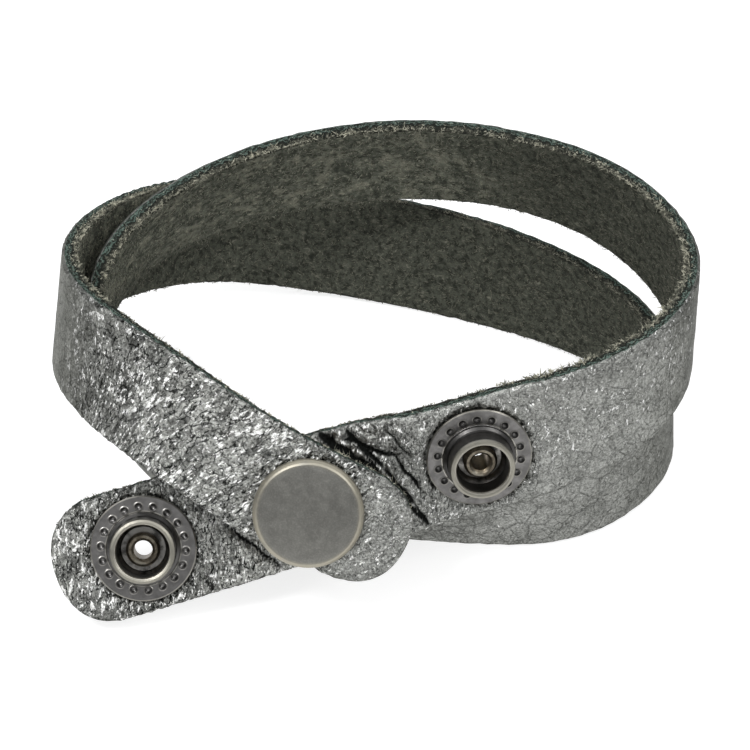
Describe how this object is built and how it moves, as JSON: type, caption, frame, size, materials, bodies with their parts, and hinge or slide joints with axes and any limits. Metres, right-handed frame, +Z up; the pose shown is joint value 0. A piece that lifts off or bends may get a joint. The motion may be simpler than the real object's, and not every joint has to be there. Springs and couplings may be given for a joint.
{
  "type": "leather wrap bracelet",
  "caption": "Flat leather strap wound twice into a wrist loop, closed by a round snap cap on a row of open ring studs.",
  "frame": {"origin": "the middle of the bracelet's box, on the surface that it rests on", "axes": "+X along the loop's long way, from the free end with the left stud to the far side; +Y from the snap to the back of the loop; +Z up, along the wrist"},
  "size_m": [0.0804, 0.0758, 0.0333],
  "materials": {
    "leather": "satin",
    "cap_metal": "satin",
    "socket_metal": "satin",
    "stud_metal": "satin",
    "eyelet_metal": "satin"
  },
  "bodies": {
    "root": {"strap": "leather", "cap": "cap_metal", "socket": "socket_metal", "stud_left": "stud_metal", "stud_middle": "stud_metal", "stud_right": "stud_metal", "eyelet_left": "eyelet_metal", "eyelet_middle": "eyelet_metal", "eyelet_right": "eyelet_metal"}
  },
  "joints": []
}
